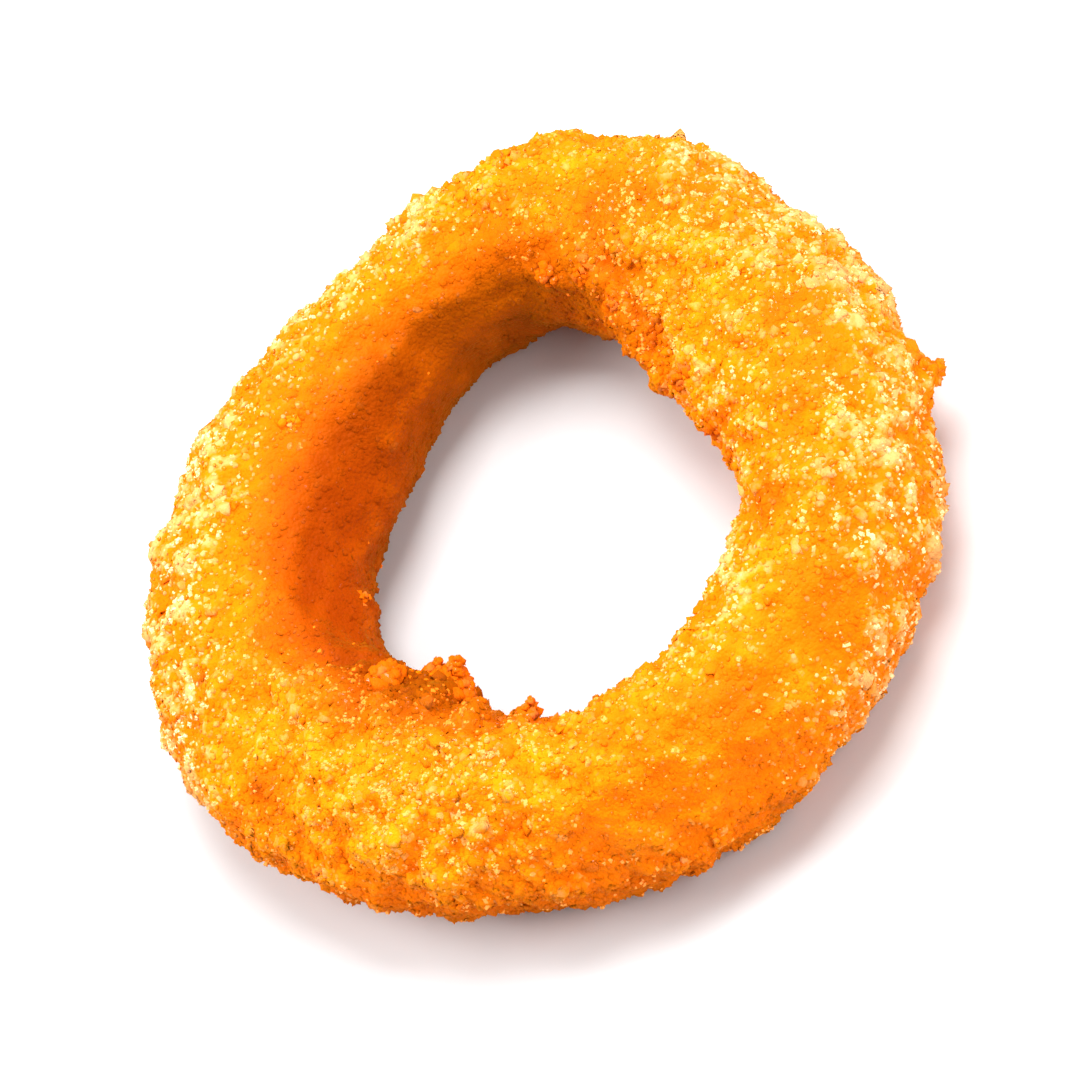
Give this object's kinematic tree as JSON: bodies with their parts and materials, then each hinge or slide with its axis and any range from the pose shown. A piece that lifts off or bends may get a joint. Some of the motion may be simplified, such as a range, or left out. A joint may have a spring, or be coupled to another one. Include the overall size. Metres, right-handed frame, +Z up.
{
  "type": "onion ring",
  "caption": "Crumbed and fried onion ring: a thick, uneven ring of golden crumb crust around an open middle, lying flat.",
  "frame": {"origin": "middle of the ring's outline, level with its flat underside", "axes": "+Z up through the open middle; +X along the ring's slightly longer width, towards the thick side of its wall"},
  "size_m": [0.0634, 0.0616, 0.0156],
  "materials": {
    "fried_crumb": "golden fried crumb crust, rough, with small oily glints"
  },
  "bodies": {
    "root": {"onion_ring": "fried_crumb"}
  },
  "joints": []
}
